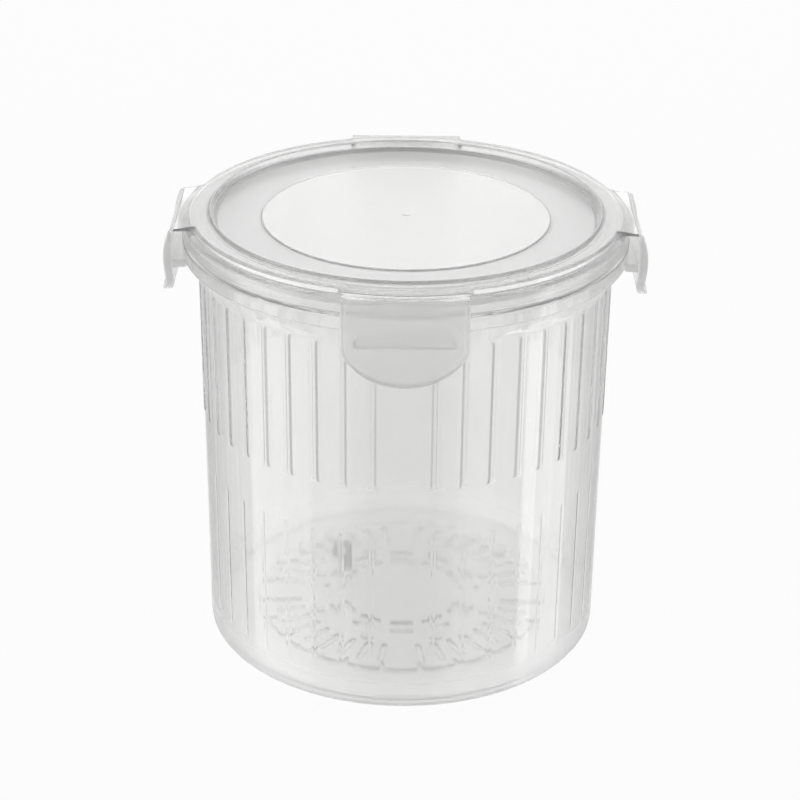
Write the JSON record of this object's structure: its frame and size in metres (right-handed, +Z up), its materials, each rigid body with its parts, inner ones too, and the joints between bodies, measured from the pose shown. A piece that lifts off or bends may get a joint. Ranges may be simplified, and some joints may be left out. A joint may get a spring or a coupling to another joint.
{
  "type": "lemon keeper",
  "caption": "Round clear keeper jar with a recessed snap lid on hinged latches, a seal ring and a slotted drain tray.",
  "frame": {"origin": "centre of the jar's foot, on the surface it stands on", "axes": "+Z up along the jar's axis, -Y towards the front latch, +X towards the right latch"},
  "size_m": [0.123, 0.123, 0.1155],
  "materials": {
    "clear_jar_plastic": "clear, polished outside",
    "clear_lid_plastic": "clear, very slightly hazy",
    "clear_silicone": "translucent, soft",
    "clear_latch_plastic": "clear, slightly hazy",
    "clear_tray_plastic": "clear, polished"
  },
  "bodies": {
    "jar": {"container": "clear_jar_plastic"},
    "closing_lid": {"lid": "clear_lid_plastic", "seal_gasket": "clear_silicone"},
    "front_tab": {"front_latch": "clear_latch_plastic"},
    "right_tab": {"right_latch": "clear_latch_plastic"},
    "back_tab": {"back_latch": "clear_latch_plastic"},
    "left_tab": {"left_latch": "clear_latch_plastic"},
    "tray": {"drain_tray": "clear_tray_plastic"}
  },
  "joints": [
    {"name": "lid_lift", "type": "slide", "parent": "jar", "child": "closing_lid", "axis": [0, 0, 1], "range_m": [0, 0.06]},
    {"name": "front_latch_hinge", "type": "hinge", "parent": "closing_lid", "child": "front_tab", "pos_m": [0, -0.05715, 0.1137], "axis": [-1, 0, 0], "range_deg": [0, 135]},
    {"name": "right_latch_hinge", "type": "hinge", "parent": "closing_lid", "child": "right_tab", "pos_m": [0.05715, 0, 0.1137], "axis": [0, -1, 0], "range_deg": [0, 135]},
    {"name": "back_latch_hinge", "type": "hinge", "parent": "closing_lid", "child": "back_tab", "pos_m": [0, 0.05715, 0.1137], "axis": [1, 0, 0], "range_deg": [0, 135]},
    {"name": "left_latch_hinge", "type": "hinge", "parent": "closing_lid", "child": "left_tab", "pos_m": [-0.05715, 0, 0.1137], "axis": [0, 1, 0], "range_deg": [0, 135]},
    {"name": "tray_lift", "type": "slide", "parent": "jar", "child": "tray", "axis": [0, 0, 1], "range_m": [0, 0.09]}
  ]
}
